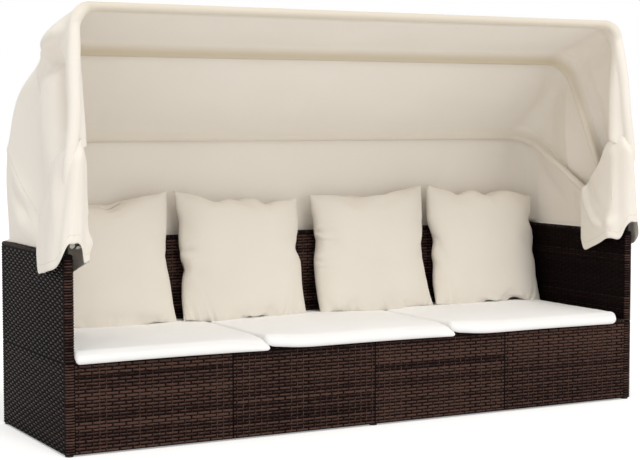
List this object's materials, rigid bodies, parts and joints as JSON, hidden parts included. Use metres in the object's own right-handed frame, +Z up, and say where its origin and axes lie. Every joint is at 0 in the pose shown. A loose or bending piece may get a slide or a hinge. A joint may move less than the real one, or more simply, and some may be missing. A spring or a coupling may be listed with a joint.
{
  "type": "outdoor daybed with folding canopy",
  "caption": "Woven rattan-look outdoor daybed with seat cushions, loose back pillows and a fabric canopy on pivoting bows that folds back.",
  "frame": {"origin": "on the floor under the middle of the whole object's box", "axes": "+X along the bench to a sitter's left (the picture's right), +Y to the back, +Z up"},
  "size_m": [2.0542, 0.6204, 1.282],
  "materials": {
    "weave": "flat dark brown strands with a soft sheen",
    "frame": "dark powder coat",
    "bow_tube": "light powder coat",
    "fixing": "zinc plated",
    "washer": "matte",
    "glide": "matte",
    "seat_cushion": "plain woven cover",
    "pillow": "plain woven cover",
    "canopy_cloth": "plain woven cloth"
  },
  "bodies": {
    "bench": {"left_arm_frame": "frame", "left_arm_weave": "weave", "right_arm_frame": "frame", "right_arm_weave": "weave", "back_frame": "frame", "back_weave": "weave", "front_frame": "frame", "front_weave": "weave", "seat_frame": "frame", "seat_deck": "weave", "left_front_seat_bolt": "fixing", "left_back_seat_bolt": "fixing", "left_front_glide": "glide", "left_back_glide": "glide", "right_front_seat_bolt": "fixing", "right_back_seat_bolt": "fixing", "right_front_glide": "glide", "right_back_glide": "glide", "middle_front_glide": "glide", "middle_back_glide": "glide", "left_pivot_bolt": "fixing", "left_cap_nut": "fixing", "left_outer_washer": "washer", "left_middle_washer": "washer", "left_inner_washer": "washer", "right_pivot_bolt": "fixing", "right_cap_nut": "fixing", "right_outer_washer": "washer", "right_middle_washer": "washer", "right_inner_washer": "washer", "left_seat_cushion": "seat_cushion", "middle_seat_cushion": "seat_cushion", "right_seat_cushion": "seat_cushion", "left_pillow": "pillow", "middle_left_pillow": "pillow", "middle_right_pillow": "pillow", "right_pillow": "pillow"},
    "rear_bow": {"rear_bow_bar": "bow_tube", "rear_bow_left_leg": "bow_tube", "rear_bow_right_leg": "bow_tube", "rear_sleeve": "canopy_cloth", "canopy_back_panel": "canopy_cloth"},
    "middle_bow": {"middle_bow_bar": "bow_tube", "middle_bow_left_leg": "bow_tube", "middle_bow_right_leg": "bow_tube", "middle_sleeve": "canopy_cloth", "canopy_rear_panel": "canopy_cloth"},
    "front_bow": {"front_bow_bar": "bow_tube", "front_bow_left_leg": "bow_tube", "front_bow_right_leg": "bow_tube", "front_sleeve": "canopy_cloth", "canopy_front_panel": "canopy_cloth", "left_drape": "canopy_cloth", "right_drape": "canopy_cloth"}
  },
  "joints": [
    {"name": "rear_bow_pivot", "type": "hinge", "parent": "bench", "child": "rear_bow", "pos_m": [0, -0.249, 0.6], "axis": [-1, 0, 0], "range_deg": [0, 24], "deforming": ["canopy_back_panel", "rear_sleeve"]},
    {"name": "middle_bow_pivot", "type": "hinge", "parent": "rear_bow", "child": "middle_bow", "pos_m": [0, -0.249, 0.6], "axis": [-1, 0, 0], "range_deg": [0, 28.5], "deforming": ["canopy_rear_panel", "middle_sleeve"]},
    {"name": "front_bow_pivot", "type": "hinge", "parent": "middle_bow", "child": "front_bow", "pos_m": [0, -0.249, 0.6], "axis": [-1, 0, 0], "range_deg": [0, 20.5], "deforming": ["canopy_front_panel", "front_sleeve", "left_drape", "right_drape"]}
  ]
}
